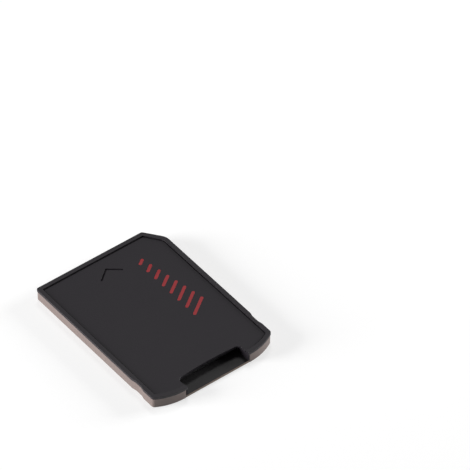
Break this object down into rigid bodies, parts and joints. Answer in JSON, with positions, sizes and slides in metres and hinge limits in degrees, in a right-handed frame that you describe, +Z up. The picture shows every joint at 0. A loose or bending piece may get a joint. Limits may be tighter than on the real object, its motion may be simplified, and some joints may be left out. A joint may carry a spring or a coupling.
{
  "type": "memory card adapter",
  "caption": "Thin black game-card adapter with a chamfered corner, a sunk top panel, a thumb recess at the rear and a slot that takes a small flash memory card.",
  "frame": {"origin": "middle of the underside's bounding rectangle, on the plane that the frame rests on", "axes": "+Z up out of the printed cover, +Y the way the adapter is pushed into its reader, +X to the side of the chamfered corner"},
  "size_m": [0.022, 0.03, 0.0021],
  "materials": {
    "black_cover": "satin moulded, near black",
    "smoke_frame": "satin moulded, smoke brown-grey",
    "board": "black solder mask on glass-fibre laminate",
    "gold": "gold plated",
    "stamped_steel": "rolled and stamped",
    "black_insulator": "matt moulded",
    "ceramic_tan": "fired ceramic, matt",
    "resistor_black": "glazed, black",
    "solder": "reflowed solder, bright",
    "red_ink": "pad-printed ink"
  },
  "bodies": {
    "root": {"top_cover": "black_cover", "frame": "smoke_frame", "circuit_board": "board", "contact_pads": "gold", "socket_shell": "stamped_steel", "socket_base": "black_insulator", "contact_spring_1": "gold", "contact_spring_2": "gold", "contact_spring_3": "gold", "contact_spring_4": "gold", "contact_spring_5": "gold", "contact_spring_6": "gold", "contact_spring_7": "gold", "contact_spring_8": "gold", "retention_spring": "stamped_steel", "detect_spring": "gold", "detect_contact": "gold", "capacitor_1": "ceramic_tan", "capacitor_2": "ceramic_tan", "resistor_1": "resistor_black", "resistor_2": "resistor_black", "resistor_3": "resistor_black", "resistor_4": "resistor_black", "resistor_5": "resistor_black", "solder_joints": "solder", "printed_strokes": "red_ink"}
  },
  "joints": []
}
